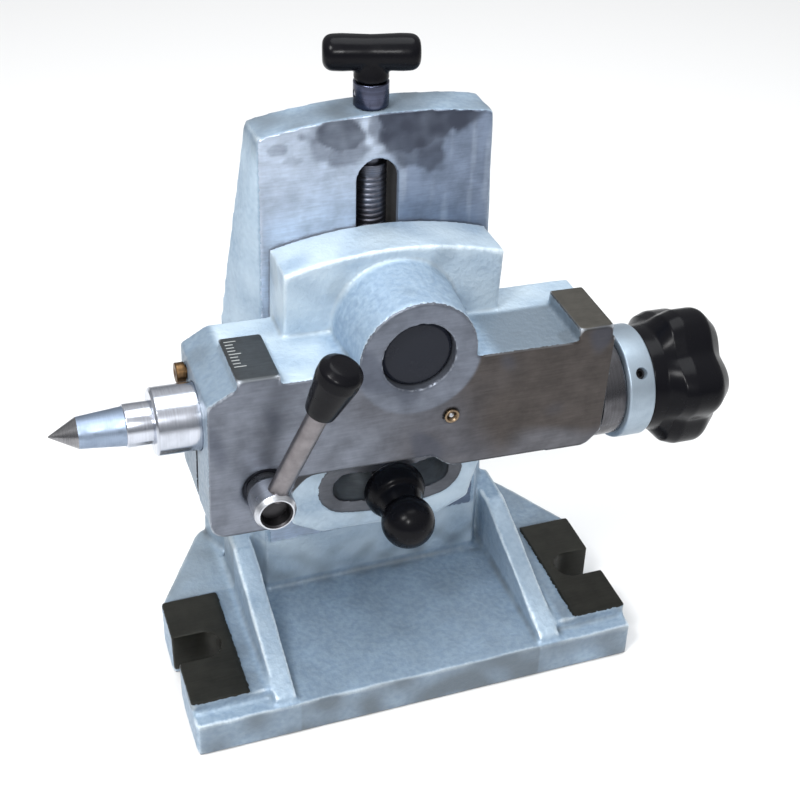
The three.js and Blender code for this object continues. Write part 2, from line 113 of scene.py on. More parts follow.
class Look:
    """A material being made, with a short call for each kind of node that a finish needs.

    Noise sizes are in millimetres, and colours are linear.
    """

    def __init__(self, name, **sockets):
        self.material = bpy.data.materials.new(name)
        self.material.use_nodes = True
        self.tree = self.material.node_tree
        self.shader = self.tree.nodes["Principled BSDF"]
        self.place = self.node("TexCoord").outputs["Object"]
        self.set(**sockets)

    def set(self, **sockets):
        for name, value in sockets.items():
            self.plug(self.shader.inputs[SOCKET_NAMES.get(name, name.replace("_", " ").title())], value)

    def plug(self, socket, value):
        if isinstance(value, bpy.types.NodeSocket):
            self.tree.links.new(value, socket)
        elif socket.type == "RGBA" and len(value) == 3:
            socket.default_value = (*value, 1)
        else:
            socket.default_value = value

    def node(self, kind, inputs=(), **properties):
        node = self.tree.nodes.new("ShaderNode" + kind)
        for name, value in properties.items():
            setattr(node, name, value)
        for name, value in dict(inputs).items():
            self.plug(node.inputs[name], value)
        return node

    def stretched(self, stretch):
        """Object coordinates turned into the head's tilt and squeezed along each axis."""
        node = self.node("Mapping", {"Vector": self.place, "Scale": [1 / s for s in stretch]})
        node.inputs["Rotation"].default_value = (0, -TILT, 0)
        return node.outputs["Vector"]

    def noise(self, size, detail=3, roughness=0.5, stretch=None):
        place = self.stretched(stretch) if stretch else self.place
        inputs = {"Vector": place, "Scale": 1000 / size, "Detail": detail, "Roughness": roughness}
        return self.node("TexNoise", inputs).outputs["Fac"]

    def rings(self, axis, size):
        """Noise that changes only along one axis, as a turning tool leaves it."""
        split = self.node("SeparateXYZ", {"Vector": self.stretched((1, 1, 1))})
        inputs = {"W": split.outputs[axis.upper()], "Scale": 1000 / size, "Detail": 2}
        return self.node("TexNoise", inputs, noise_dimensions="1D").outputs["Fac"]

    def attribute(self, name, output="Fac"):
        return self.node("Attribute", attribute_name=name).outputs[output]

    def spread(self, value, low, high, start=0.0, end=1.0):
        """Maps low..high to start..end, held at both ends."""
        inputs = {"Value": value, "From Min": low, "From Max": high, "To Min": start,
                  "To Max": end}
        return self.node("MapRange", inputs).outputs["Result"]

    def math(self, operation, first, second):
        return self.node("Math", {0: first, 1: second}, operation=operation).outputs[0]

    def blend(self, factor, first, second):
        """Mixes two colours."""
        node = self.node("Mix", {0: factor, 6: first, 7: second}, data_type="RGBA")
        return node.outputs[2]

    def between(self, factor, first, second):
        """Mixes two numbers."""
        return self.node("Mix", {0: factor, 2: first, 3: second}, data_type="FLOAT").outputs[0]

    def shade(self, color, factor):
        """A colour made lighter or darker by a factor."""
        node = self.node("VectorMath", {0: color, "Scale": factor}, operation="SCALE")
        return node.outputs[0]

    def bump(self, height, depth):
        """Presses a height into the surface; depth is in millimetres."""
        return self.node("Bump", {"Height": height, "Distance": depth / 1000}).outputs["Normal"]


PAINT_DEEP = (0.235, 0.325, 0.435)      # in the hollows of the hammered finish
PAINT_RAISED = (0.31, 0.41, 0.515)
PAINT_CLOUD = (0.25, 0.34, 0.45)
PAINT_PALE = (0.50, 0.60, 0.68)         # lighter paint, where the "pale" mask is
PAINT_WORN_AND_HIGHLIT = (0.64, 0.73, 0.80)         # rubbed thin along the outer edges, and a painted highlight there
# dirt, and painted shade
GRIME_AND_SHADE = (0.115, 0.145, 0.175)
DIRT_AND_SHADE = (0.075, 0.068, 0.045)            # dirt and painted shade, in the inner corners
OIL = (0.045, 0.053, 0.078)
# painted highlight on the edges of bare iron
IRON_EDGE_HIGHLIGHT = (0.60, 0.65, 0.72)
BLACK_DUST = (0.03, 0.03, 0.036)


def casting_look():
    """Hammered paint, and bare iron where the "bare" distance is positive.

    The other attributes that a casting's mesh carries are how sharp an outer edge is (edge), the
    iron's colour, in places with painted shade and light (iron), and masks from 0 to 1: pale,
    grime (dirt and painted shade), stain (oil) and dull (no shine).
    """
    look = Look("casting_paint_and_iron")
    ragged = look.spread(look.noise(1.8, detail=4), 0.3, 0.7, -0.4, 0.4)
    bare = look.spread(look.math("ADD", look.attribute("bare"), ragged), -0.06, 0.06)
    edge = look.attribute("edge")

    hammer = look.noise(2.6, detail=2, roughness=0.45)
    fine = look.noise(0.8, detail=3)
    cloud = look.noise(30, detail=3)
    paint = look.blend(look.spread(hammer, 0.34, 0.66), PAINT_DEEP, PAINT_RAISED)
    paint = look.blend(look.spread(cloud, 0.4, 0.7, 0, 0.3), paint, PAINT_CLOUD)
    paint = look.blend(look.attribute("pale"), paint, PAINT_PALE)
    # Outer edges of the paint: worn lighter, and a painted highlight.
    worn_and_highlit = look.math("ADD", edge, look.spread(fine, 0.3, 0.7, -0.06, 0.06))
    paint = look.blend(look.spread(worn_and_highlit, 0.22, 0.52, 0, 0.95), paint, PAINT_WORN_AND_HIGHLIT)
    # Dirt and painted shade in the hollows.
    hollow = look.spread(edge, -0.12, -0.6, 0, 0.7)
    paint = look.blend(look.math("MULTIPLY", hollow, look.spread(cloud, 0.3, 0.6)), paint, DIRT_AND_SHADE)
    # Darker paint for dirt and for painted shade.
    paint = look.blend(look.attribute("grime_and_shade"), paint, GRIME_AND_SHADE)

    brushed = look.noise(1.0, detail=4, stretch=(9, 1, 1))
    blotch = look.noise(11, detail=4, roughness=0.6)
    iron = look.attribute("iron", "Color")
    iron = look.shade(iron, look.spread(blotch, 0.36, 0.68, 1.08, 0.78))
    iron = look.shade(iron, look.spread(brushed, 0.3, 0.75, 0.92, 1.14))
    iron = look.blend(look.attribute("stain"), iron, OIL)
    # Painted highlight on the iron's outer edges.
    iron = look.blend(look.spread(edge, 0.34, 0.6, 0, 0.8), iron, IRON_EDGE_HIGHLIGHT)

    dull = look.attribute("dull")
    roughness = look.between(bare, look.spread(hammer, 0.3, 0.7, 0.5, 0.4),
                             look.spread(blotch, 0.3, 0.7, 0.36, 0.5))
    look.set(
        base_color=look.blend(bare, paint, iron),
        metallic=look.between(dull, look.between(bare, 0.25, 0.7), 0),
        roughness=look.math("ADD", look.math("MULTIPLY", dull, 0.5), roughness),
    )
    painted = look.math("ADD", hammer, look.math("MULTIPLY", fine, 0.25))
    ground = look.math("MULTIPLY", brushed, 0.08)
    look.set(normal=look.bump(look.between(bare, painted, ground), 0.4))
    return look.material


def steel_look(name, color, dark, roughness, axis="x", ring=0.5, depth=0.02, metallic=1.0):
    """Turned or ground steel, with tool rings along an axis, smears of oil and fine scratches."""
    look = Look(name, metallic=metallic)
    rings = look.rings(axis, ring)
    smear = look.noise(7, detail=4, roughness=0.6)
    mixed = look.blend(look.spread(rings, 0.3, 0.7, 0, 0.45), color, dark)
    look.set(
        base_color=look.blend(look.spread(smear, 0.42, 0.72, 0, 0.6), mixed, dark),
        roughness=look.spread(smear, 0.3, 0.7, roughness * 0.8, roughness * 1.35),
        normal=look.bump(look.math("ADD", rings, look.math("MULTIPLY", look.noise(0.6), 0.4)), depth),
    )
    return look.material


def black_look(name, color, gloss):
    """Moulded glossy black phenolic, with faint waves, fine dust and handling marks."""
    look = Look(name, specular_ior_level=gloss)
    waves = look.noise(9, detail=2)
    dust = look.noise(0.7, detail=4, roughness=0.7)
    smudge = look.noise(14, detail=4, roughness=0.65)
    look.set(
        base_color=look.blend(look.spread(dust, 0.62, 0.8, 0, 0.25), color, BLACK_DUST),
        roughness=look.spread(smudge, 0.35, 0.7, 0.20, 0.30),
        normal=look.bump(look.math("ADD", waves, look.math("MULTIPLY", dust, 0.02)), 0.12),
    )
    return look.material


CASTING = casting_look()
BLACK = black_look("black_phenolic", (0.004, 0.004, 0.0055), 0.09)
CAP_BLACK = black_look("cap_enamel", (0.012, 0.014, 0.021), 0.13)
TURNED_X = steel_look("turned_steel_x", (0.56, 0.57, 0.60), (0.30, 0.30, 0.32), 0.3)
BUSH_STEEL = steel_look("oiled_bush", (0.12, 0.12, 0.13), (0.05, 0.047, 0.05), 0.26)
TURNED_Y = steel_look("turned_steel_y", (0.56, 0.57, 0.60), (0.30, 0.30, 0.32), 0.3, "y")
SCREW_STEEL = steel_look("oiled_screw_steel", (0.16, 0.175, 0.22), (0.05, 0.04, 0.04), 0.42, "z")
SLEEVE_STEEL = steel_look("blued_sleeve", (0.085, 0.095, 0.145), (0.035, 0.035, 0.05), 0.24, "z",
                          1.6, 0.006)
POLISHED_X = steel_look("polished_quill", (0.56, 0.59, 0.66), (0.38, 0.40, 0.45), 0.20, "x",
                        0.8, 0.006)
POLISHED_Y = steel_look("polished_hub", (0.60, 0.62, 0.66), (0.34, 0.35, 0.38), 0.30, "y",
                        0.8, 0.006)
CONE_STEEL = steel_look("satin_cone", (0.28, 0.345, 0.45), (0.21, 0.26, 0.34), 0.42, "x", 0.4, 0.02)
POINT_STEEL = steel_look("ground_point", (0.30, 0.30, 0.31), (0.10, 0.10, 0.11), 0.22, "x", 0.4, 0.02)
ROD_STEEL = steel_look("dull_rod", (0.24, 0.225, 0.235), (0.13, 0.12, 0.125), 0.36, "z", 9, 0.004)
SATIN = steel_look("satin_ring", (0.34, 0.41, 0.48), (0.27, 0.33, 0.39), 0.40, "x", 0.35, 0.015, 0.7)
OXIDE_Y = steel_look("black_oxide_y", (0.060, 0.058, 0.062), (0.025, 0.024, 0.026), 0.40, "y")
BRASS_Y = steel_look("dull_brass_y", (0.27, 0.20, 0.13), (0.13, 0.09, 0.06), 0.34, "y", 0.6, 0.01)
MARKS = steel_look("filled_marks", (0.36, 0.38, 0.38), (0.24, 0.25, 0.25), 0.5, "y", 0.6, 0.01, 0.2)
BRASS_X = steel_look("dull_brass_x", (0.16, 0.095, 0.045), (0.07, 0.04, 0.02), 0.40, "x", 0.6, 0.01)


# ---- Mesh tools ----
def rounded(points, closed=False, steps=5):
    """A profile with its corners turned into arcs; each point is (along, radius, corner)."""
    result = []
    for i, (x, y, corner) in enumerate(points):
        here = Vector((x, y))
        if corner == 0 or (not closed and i in (0, len(points) - 1)):
            result.append(here)
            continue
        before = (Vector(points[i - 1][:2]) - here).normalized()
        after = (Vector(points[(i + 1) % len(points)][:2]) - here).normalized()
        half = before.angle(after) / 2
        centre = here + (before + after).normalized() * corner / math.sin(half)
        start = here + before * corner / math.tan(half) - centre
        sweep = start.angle_signed(here + after * corner / math.tan(half) - centre)
        for k in range(steps + 1):
            result.append(centre + Matrix.Rotation(-sweep * k / steps, 2) @ start)
    return [tuple(point) for point in result]


def turned(profile, closed=False, segments=72):
    """A mesh turned about X. The profile lists (along, radius), or gives the list at an angle."""
    mesh = bmesh.new()
    at = profile if callable(profile) else lambda angle: profile
    columns = [at(2 * math.pi * k / segments) for k in range(segments)]
    rings = []
    for j in range(len(columns[0])):
        if all(column[j][1] < 1e-6 for column in columns):
            rings.append([mesh.verts.new((columns[0][j][0], 0, 0))])
            continue
        ring = []
        for k, column in enumerate(columns):
            angle = 2 * math.pi * k / segments
            x, radius = column[j]
            ring.append(mesh.verts.new((x, radius * math.cos(angle), radius * math.sin(angle))))
        rings.append(ring)
    pairs = list(zip(rings, rings[1:])) + ([(rings[-1], rings[0])] if closed else [])
    for first, second in pairs:
        for k in range(segments):
            after = (k + 1) % segments
            quad = [first[k % len(first)], second[k % len(second)],
                    second[after % len(second)], first[after % len(first)]]
            face = list(dict.fromkeys(quad))
            if len(face) > 2:
                mesh.faces.new(face)
    return finished(mesh)


def finished(mesh):
    """A bmesh turned into a mesh, with its faces outward."""
    bmesh.ops.recalc_face_normals(mesh, faces=mesh.faces)
    data = bpy.data.meshes.new("drawn")
    mesh.to_mesh(data)
    mesh.free()
    return data


def joined(*parts):
    """One mesh out of (mesh, matrix) pairs."""
    mesh = bmesh.new()
    for data, place in parts:
        data.transform(place)
        mesh.from_mesh(data)
    return finished(mesh)


def evaluated(data, kind, prepare):
    """The mesh after one modifier."""
    helper = bpy.data.objects.new("helper", data)
    bpy.context.scene.collection.objects.link(helper)
    prepare(helper.modifiers.new("step", kind))
    graph = bpy.context.evaluated_depsgraph_get()
    result = bpy.data.meshes.new_from_object(helper.evaluated_get(graph))
    bpy.data.objects.remove(helper)
    return result


def voxels(data, size):
    """Rebuilds a mesh on a grid, which joins its overlapping shells."""
    def prepare(modifier):
        modifier.mode = "VOXEL"
        modifier.voxel_size = size
    return evaluated(data, "REMESH", prepare)


def carved(data, tool):
    """The mesh less another one."""
    cutter = bpy.data.objects.new("cutter", tool)
    bpy.context.scene.collection.objects.link(cutter)

    def prepare(modifier):
        modifier.object = cutter
        modifier.operation = "DIFFERENCE"
        modifier.solver = "EXACT"
    result = evaluated(data, "BOOLEAN", prepare)
    bpy.data.objects.remove(cutter)
    return result


def bevelled(data, width):
    """The mesh with its sharp edges broken."""
    def prepare(modifier):
        modifier.width = width
        modifier.segments = 2
        modifier.limit_method = "ANGLE"
    return evaluated(data, "BEVEL", prepare)


def piece(name, data, place, node, material, smooth=35, replaces=True):
    """Adds a mesh drawn in millimetres, riding with a CAD node and standing for it."""
    data.transform(place)
    data.materials.clear()
    data.materials.append(material)
    data.shade_smooth()
    data.set_sharp_from_angle(angle=math.radians(smooth))
    obj = bpy.data.objects.new(name, data)
    bpy.context.scene.collection.objects.link(obj)
    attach(obj, nodes[node]["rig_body"])
    if replaces:
        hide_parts(node)
    return obj


class Skin:
    """A mesh's points as arrays, for smoothing and for reading its shape."""

    PULL = 0.6      # how much of the way to its neighbours' average a point moves in one step

    def __init__(self, data):
        self.data = data
        self.points = self.read(data.vertices, "co")
        self.ends = np.empty(len(data.edges) * 2, np.int32)
        data.edges.foreach_get("vertices", self.ends)
        self.ends = self.ends.reshape(-1, 2).T
        self.count = np.bincount(self.ends.ravel(), minlength=len(self.points))

    @staticmethod
    def read(items, name):
        values = np.empty(len(items) * 3, np.float32)
        items.foreach_get(name, values)
        return values.reshape(-1, 3).astype(float)

    def mean(self, values):
        """Each point's average over its neighbours."""
        first, second = self.ends
        total = [np.bincount(first, column[second], len(values))
                 + np.bincount(second, column[first], len(values)) for column in values.T]
        return np.array(total).T / self.count[:, None]

    def relax(self, times, weight=1.0):
        share = self.PULL * np.broadcast_to(weight, len(self.points))[:, None]
        for _ in range(times):
            self.points += share * (self.mean(self.points) - self.points)
        self.save()

    def save(self):
        self.data.vertices.foreach_set("co", self.points.astype(np.float32).ravel())
        self.data.update()

    def normals(self):
        return self.read(self.data.vertex_normals, "vector")

    def crest(self, times=5):
        """How far each point stands proud of its surroundings: above 0 on an outer edge."""
        smooth = self.points
        for _ in range(times):
            smooth = self.mean(smooth)
        return np.einsum("ij,ij->i", self.points - smooth, self.normals())

    def paint(self, name, values):
        kind, key = ("FLOAT", "value") if values.ndim == 1 else ("FLOAT_COLOR", "color")
        if kind == "FLOAT_COLOR":
            values = np.column_stack([values, np.ones(len(values))])
        layer = self.data.attributes.new(name, kind, "POINT")
        layer.data.foreach_set(key, values.astype(np.float32).ravel())


def ripple(points, size, seed, waves=28):
    """Smooth noise of about 1, from waves in many directions; size is a wave's length."""
    draw = np.random.default_rng(seed)
    directions = draw.normal(size=(waves, 3))
    directions /= np.linalg.norm(directions, axis=1)[:, None]
    total = np.zeros(len(points))
    for direction in directions:
        length = size * draw.uniform(0.7, 1.5)
        total += np.sin(points @ direction * (2 * math.pi / length) + draw.uniform(0, 2 * math.pi))
    return total / math.sqrt(waves / 2)


def inside(*distances):
    return np.minimum.reduce(distances)


def either(*distances):
    return np.maximum.reduce(distances)


def within(values, low, high):
    """How far inside a range each value is; below 0 it is outside."""
    return np.minimum(values - low, high - values)


def fade(values, low, high):
    """0 below low, 1 above high, and a smooth step between."""
    share = np.clip((values - low) / (high - low), 0, 1)
    return share * share * (3 - 2 * share)


def tinted(base, *layers):
    """Colours each point: each layer is (mask from 0 to 1, colour)."""
    color = np.tile(np.array(base, float), (len(layers[0][0]), 1))
    for mask, tint in layers:
        color += np.clip(mask, 0, 1)[:, None] * (np.array(tint) - color)
    return color


# ---- Castings ----
def casting(node, place, voxel, bare_distance, rim_highlight):
    """A CAD casting rebuilt as a cast surface: soft lumpy paint, crisp machined faces.

    Rim is how strong the painted highlight along the machined faces' edges is, beside the edges of the
    enamel.
    """
    data = nodes[node].data.copy()
    data.transform(place.inverted())
    skin = Skin(voxels(data, voxel))
    bare = bare_distance(*skin.points.T)
    painted = fade(-bare, 0.2, 1.6)
    skin.relax(2, painted)
    skin.relax(2, 0.5)
    lumps = 0.12 * ripple(skin.points, 30, 1) + 0.03 * ripple(skin.points, 7, 2)
    skin.points += (painted * lumps)[:, None] * skin.normals()
    skin.save()
    skin.paint("bare", bare)
    skin.paint("edge", skin.crest() * np.where(bare > -0.6, rim_highlight, 1.0))
    return skin


# The head's machined surfaces, in the head's frame. Limits lie just outside the CAD's edges.
FACE_SKIN = 0.7                 # points this near to the front or back are bare
PAD_FRONT_OF = 10.2             # the two end pads lie in front of this Y
LEFT_PAD_X = (-79.5, -59.5)
LEFT_PAD_Z = -0.1
RIGHT_PAD_X = 73.5
RIGHT_PAD_Z = 2.1
ARC_RADIUS = 92.4
ARC_SLOT_HALF = 8
ARC_PAD_HALF = 15
ARC_PAD_FRONT_OF = 9.6
ARC_HALF_ANGLE = math.radians(12.9)
ARC_OFFSET = math.radians(2.2)  # the slot's middle, towards the knob
BORE_CLEARANCE = 0.7
CAP_FLOOR_Y = -7
JOURNAL_RADIUS = 12.2
LEVER_BORE_RADIUS = 11.2
LEVER_BORE_Y = (-21, 19)        # painted in between
QUILL_BORE_RADIUS = 15
SLIT_HALF = 1.7
SLIT_DROP = 12                  # its top, below the quill's axis
SLIT_END_X = -52


def head_bare(x, y, z):
    """Millimetres inside the head's machined surfaces; below 0 is paint."""
    low, high = corners("head_casting", HEAD)
    quill_centre = middle("quill", HEAD)
    lever_centre = middle("quill_clamp_washer", HEAD)
    cap_radius = corners("pivot_cap", HEAD)[1].x
    from_pivot = np.hypot(x, z)
    from_quill = np.hypot(y, z - quill_centre.z)
    from_lever = np.hypot(x - lever_centre.x, z - lever_centre.z)
    face = low.y + FACE_SKIN - y
    left_pad = inside(z - LEFT_PAD_Z, within(x, *LEFT_PAD_X), PAD_FRONT_OF - y)
    right_pad = inside(z - RIGHT_PAD_Z, x - RIGHT_PAD_X, PAD_FRONT_OF - y)
    turn = np.clip(np.arctan2(x, -z) - ARC_OFFSET, -ARC_HALF_ANGLE, ARC_HALF_ANGLE) + ARC_OFFSET
    from_slot = np.hypot(x - ARC_RADIUS * np.sin(turn), z + ARC_RADIUS * np.cos(turn))
    slot_pad = inside(ARC_PAD_FRONT_OF - y, ARC_PAD_HALF + 0.3 - from_slot)
    slot = ARC_SLOT_HALF + BORE_CLEARANCE - from_slot
    cap_bore = inside(cap_radius + 1.1 - from_pivot, CAP_FLOOR_Y - y)
    journal = JOURNAL_RADIUS - from_pivot
    lever_bore = inside(LEVER_BORE_RADIUS - from_lever, -within(y, *LEVER_BORE_Y))
    quill_bore = QUILL_BORE_RADIUS - from_quill
    slit = inside(SLIT_HALF - abs(y), quill_centre.z - SLIT_DROP - z, SLIT_END_X - x)
    back = y - high.y + FACE_SKIN
    return either(face, left_pad, right_pad, slot_pad, slot, cap_bore, journal, lever_bore,
                  quill_bore, slit, back)


def bottom_edge(x):
    """Height of the lower edge of the head's machined face."""
    return np.interp(x, (-54.6, -54.4, 9, 18, 85, 92), (-80, -53.3, -53.3, -60.5, -61.5, -54.5))


def head_surface():
    """The head, painted, with its dark bare front face."""
    skin = casting("head_casting", HEAD, 0.9, head_bare, 0.8)
    x, y, z = skin.points.T
    face = fade(-y, 22.5, 23.5)
    wander = 9 * ripple(skin.points, 45, 11)
    ahead = fade(-y, -11, -9)
    lower_plate = fade(-z, 66, 70)
    skin.paint("iron", tinted(
        (0.15, 0.165, 0.20),
        # From left to right the face reflects less of the room.
        (face * fade(x + wander, -45, 25), (0.074, 0.073, 0.083)),
        (face * fade(x + wander, 5, 45), (0.055, 0.047, 0.044)),
        (face * fade(-z + 0.4 * wander, 47, 58) * fade(x, 5, 20), (0.10, 0.10, 0.112)),
        # The boss round the cap, the left pad and the right pad.
        (face * fade(-np.hypot(x, z), -29, -27), (0.13, 0.145, 0.18)),
        (fade(z, -0.3, 0.2) * fade(-x, 58, 60) * ahead, (0.055, 0.061, 0.066)),
        (fade(z, 1.9, 2.5) * fade(x, 72, 74) * ahead, (0.08, 0.075, 0.065)),
        # Inside the slit and the quill's bore, painted shade: near-black iron. On the arc pad.
        # Inside the arc slot, painted light: lighter iron where the slot lies in shade.
        (fade(y, -23.4, -22.8) * fade(-z, 40, 42) * fade(-x, 50, 54), (0.02, 0.022, 0.03)),
        (fade(y, -5, 0) * lower_plate, (0.095, 0.10, 0.115)),
        (fade(y, 9.6, 11) * lower_plate, (0.30, 0.34, 0.38)),
        # A painted shadow: a dark line along the face's lower edge.
        (0.9 * face * fade(bottom_edge(x) + 1.7 - z, 0, 1), (0.02, 0.02, 0.022)),
    ))
    skin.paint("stain", 0.5 * fade(ripple(skin.points, 30, 12), 0.8, 2.0) * face)
    plate = fade(y, 6, 10)
    lid = fade(z, -6, -4) * (1 - plate)
    left_end = fade(-x, 76, 80)
    cloud = 0.8 + 0.2 * ripple(skin.points, 20, 14)
    skin.paint("pale", np.clip(cloud * tinted(
        (0,), (plate, (0.75,)), (plate * fade(-x, -5, 25), (1.0,)),
        (plate * fade(-z, 50, 70), (0.75,)), (lid * fade(-x, 30, 40), (0.8,)),
        (left_end, (0.0,)))[:, 0], 0, 1))
    # Darker paint: dirt at random, and over the beam's top at the right and on the left end.
    skin.paint("grime_and_shade", np.clip(0.25 * fade(ripple(skin.points, 22, 13), 0.9, 2.2)
                                + 0.85 * lid * fade(x, 30, 40) + 0.45 * left_end, 0, 1))
    piece("head_surface", skin.data, HEAD, "head_casting", CASTING)


# The base's machined surfaces, in the shared frame. Limits lie just outside the CAD's edges.
COLUMN_FACE_Y = (33.5, 35.6)
COLUMN_FACE_HALF = 53
COLUMN_FOOT = 50                # lowest point of the column's face, slot and strip
CLAMP_PAD_Z = 24.7
CLAMP_PAD_INNER = 82
CLAMP_PAD_Y = (-37, 35.4)
BOLT_SLOT_HALF = 9.6
BOLT_SLOT_CENTRE = 96.7         # of its round end
BOLT_SLOT_INNER = 80
GUIDE_HALF = 10
GUIDE_Y = (34, 57)
GUIDE_HIGH = 253
STRIP_HALF = 21                 # the strip behind the slot, which the rear washer slides on
STRIP_Y = (55.4, 57)
STRIP_HIGH = 264
SCREW_Y = 45.5
SCREW_BORE_RADIUS = 6.4
SCREW_BORE_LOW = 240
UNDERSIDE_SKIN = 0.6


def base_bare(x, y, z):
    """Millimetres inside the base's machined surfaces; below 0 is paint."""
    side = abs(x)
    face = inside(within(y, *COLUMN_FACE_Y), z - COLUMN_FOOT, COLUMN_FACE_HALF - side)
    pads = inside(z - CLAMP_PAD_Z, side - CLAMP_PAD_INNER, within(y, *CLAMP_PAD_Y))
    from_bolt = np.hypot(np.maximum(BOLT_SLOT_CENTRE - side, 0), y)
    bolt_slots = inside(BOLT_SLOT_HALF - from_bolt, side - BOLT_SLOT_INNER)
    guide = inside(GUIDE_HALF - side, within(y, *GUIDE_Y), within(z, COLUMN_FOOT, GUIDE_HIGH))
    strip = inside(STRIP_HALF - side, within(y, *STRIP_Y), within(z, COLUMN_FOOT, STRIP_HIGH))
    screw_bore = inside(SCREW_BORE_RADIUS - np.hypot(x, y - SCREW_Y), z - SCREW_BORE_LOW)
    return either(face, pads, bolt_slots, guide, strip, screw_bore, UNDERSIDE_SKIN - z)


# Oily smears on the column's face: middle x and z, half width and height, and strength.
SMEARS = [
    (-17, 265, 15, 10, 0.84), (-14, 256, 11, 8, 0.6), (-24, 259, 8, 7, 0.5), (3, 266, 10, 9, 0.6),
    (23, 268, 26, 12, 1.0), (14, 261, 15, 10, 0.96), (34, 268, 14, 10, 1.0), (24, 251, 8, 10, 0.8),
    (15, 254, 10, 8, 0.7), (-44, 261, 5, 3, 0.35), (-38, 255, 6, 2.5, 0.3),
]


def smears(points):
    """How oily each point is, from 0 to 1, with ragged edges; only on the column's face."""
    x, y, z = points.T
    ragged = 0.09 * ripple(points, 14, 21) + 0.05 * ripple(points, 5, 22)
    stain = np.zeros(len(points))
    for middle_x, middle_z, half_x, half_z, strength in SMEARS:
        reach = 1 - np.hypot((x - middle_x) / half_x, (z - middle_z) / half_z) + ragged
        stain = np.maximum(stain, strength * fade(reach, -0.04, 0.28))
    return stain * fade(-y, -36, -35.5) * (0.95 + 0.05 * ripple(points, 7, 28))


def base_surface():
    """The base and column, painted, with oily smears on the bare face."""
    skin = casting("base_casting", ROW, 1.1, base_bare, 0.35)
    x, y, z = skin.points.T
    side = abs(x)
    on_face = fade(z, 45, 50) * fade(y, 33, 34)
    slot_walls = on_face * fade(y, 35.8, 36.6)
    wander = 7 * ripple(skin.points, 40, 24)
    scuffs = ripple(skin.points * (1, 1, 0.15), 5, 25)
    skin.paint("iron", tinted(
        (0.026, 0.026, 0.022),
        (on_face, (0.46, 0.53, 0.64)),
        # Painted shade: the face darker towards the right.
        (on_face * fade(x + wander, -5, 30), (0.18, 0.225, 0.31)),
        (0.18 * on_face * fade(scuffs, 0.5, 1.8), (0.55, 0.62, 0.72)),
        # Painted shade: the guide slot's walls near black.
        (slot_walls, (0.02, 0.019, 0.02)),
        (fade(-z, -1, -0.4), (0.2, 0.2, 0.21)),
    ))
    skin.paint("stain", np.clip(smears(skin.points), 0, 1))
    skin.paint("dull", slot_walls)

    cloud = 0.8 + 0.2 * ripple(skin.points, 20, 27)
    foot = fade(-abs(z - 21 - 8 * fade(y, 34, 35)), -16, -3) * fade(-abs(y - 34), -6, -1)
    wing = fade(side, 74, 78) * fade(-z, -30, -27) * fade(z, 20, 22)
    front = fade(-y, 43.5, 44.5)
    shelf = fade(-side, -61, -60) * fade(-z, -22, -20) * fade(-y, -34, -32)
    column_top = fade(z, 252, 268) * fade(y, 35.6, 37)
    shoulder = fade(side, 68, 72) * fade(y, 36, 38) * fade(z, 24, 26)
    # Dirt at the column's foot; painted shade on the base's front and on the shelf; darker paint on the
    # column's top, the end blocks and the shoulders.
    skin.paint("grime_and_shade", np.clip(
        foot * fade(-side, -62, -58) * (0.16 + 0.2 * ripple(skin.points, 14, 26))
        + cloud * (0.85 * column_top + 0.6 * wing + 0.8 * front + 0.28 * shelf
                   + 0.5 * shoulder), 0, 1))

    ribs = fade(-abs(side - 66.7), -6, -5) * fade(z, 20, 23) * fade(-y, -36, -34)
    column_foot = fade(-side, -62, -60) * fade(z, 22, 24) * fade(-z, -51, -49) * fade(y, 30, 33)
    left_flank = fade(-z, -264, -262) * fade(y, 35.6, 37) * fade(-x, 40, 45)
    skin.paint("pale", np.clip(
        cloud * (0.35 * ribs + 0.8 * column_foot + 0.5 * left_flank), 0, 1))
    piece("base_surface", skin.data, ROW, "base_casting", CASTING)


# ---- Elevating screw ----
THREAD_TURN = 2000 * math.pi / abs(couplings["elevating_turn"]["ratio"])     # rise in one turn
THREAD_DEPTH = 0.45
CORE_DEPTH = 0.55           # the core lies just under the thread's roots
COLLAR = 4                  # thickness of the shoulder under the arch of the slot
NECK_RADIUS = 5             # above the shoulder
SLEEVE_BORE = 5.3
PIN_HOLE = 1.7


def thread(radius, depth, start, end, rise, segments=40):
    """A right-hand screw thread about X, with flat crests and roots, to lie over a core."""
    mesh = bmesh.new()
    shape = [(0.0, radius - depth), (0.22, radius - depth), (0.42, radius), (0.78, radius)]
    turns = int((end - start) / rise) - 1
    strip = []
    for k in range(turns * segments + 1):
        angle = 2 * math.pi * k / segments
        column = []
        for share, height in shape + [(1.0, radius - depth)]:
            x = start + rise * (k / segments + share)
            column.append(mesh.verts.new((x, height * math.cos(angle), height * math.sin(angle))))
        strip.append(column)
    for first, second in zip(strip, strip[1:]):
        for j in range(len(shape)):
            mesh.faces.new([first[j], first[j + 1], second[j + 1], second[j]])
    bmesh.ops.remove_doubles(mesh, verts=mesh.verts, dist=1e-4)
    return finished(mesh)


